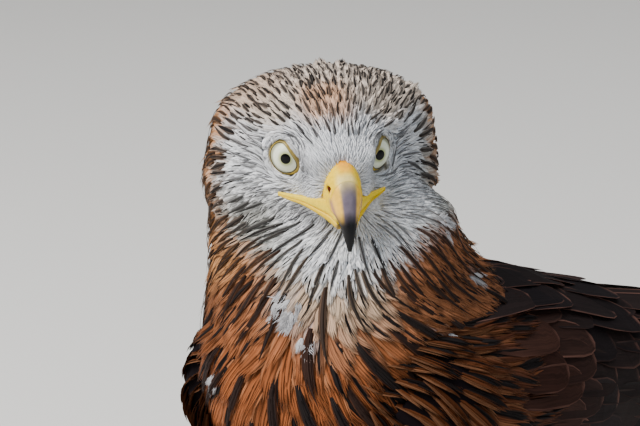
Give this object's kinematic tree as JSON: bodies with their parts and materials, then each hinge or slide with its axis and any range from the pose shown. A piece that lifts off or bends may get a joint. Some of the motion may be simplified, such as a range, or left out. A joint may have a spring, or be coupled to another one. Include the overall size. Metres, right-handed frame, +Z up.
{
  "type": "red kite bird",
  "caption": "Life-size still model of a standing red kite with folded wings, forked tail and its head turned to its left.",
  "frame": {"origin": "on the ground under the middle of the bird's box", "axes": "+Y towards the tail, +X towards the bird's left, +Z up from the ground"},
  "size_m": [0.162, 0.5898, 0.2847],
  "materials": {
    "head_feather": "matte pale grey feather with dark streaks",
    "neck_feather": "matte pale and rufous feather with dark streaks",
    "rufous_feather": "matte rufous feather with dark streaks",
    "wing_feather": "satin dark brown feather with pale edges",
    "tail_feather": "satin rufous feather",
    "cere_yellow": "satin waxy skin",
    "bill_horn": "polished horn",
    "eye": "wet, clear",
    "leg_yellow": "satin scaly skin",
    "claw_black": "polished horn"
  },
  "bodies": {
    "root": {"head": "head_feather", "neck": "neck_feather", "torso": "rufous_feather", "thigh_left": "rufous_feather", "thigh_right": "rufous_feather", "wing_left": "wing_feather", "wing_right": "wing_feather", "tail": "tail_feather", "cere": "cere_yellow", "bill_upper": "bill_horn", "bill_lower": "cere_yellow", "eye_left": "eye", "eye_right": "eye", "foot_left": "leg_yellow", "foot_right": "leg_yellow", "claw_left_inner": "claw_black", "claw_left_middle": "claw_black", "claw_left_outer": "claw_black", "claw_left_hind": "claw_black", "claw_right_inner": "claw_black", "claw_right_middle": "claw_black", "claw_right_outer": "claw_black", "claw_right_hind": "claw_black"}
  },
  "joints": []
}
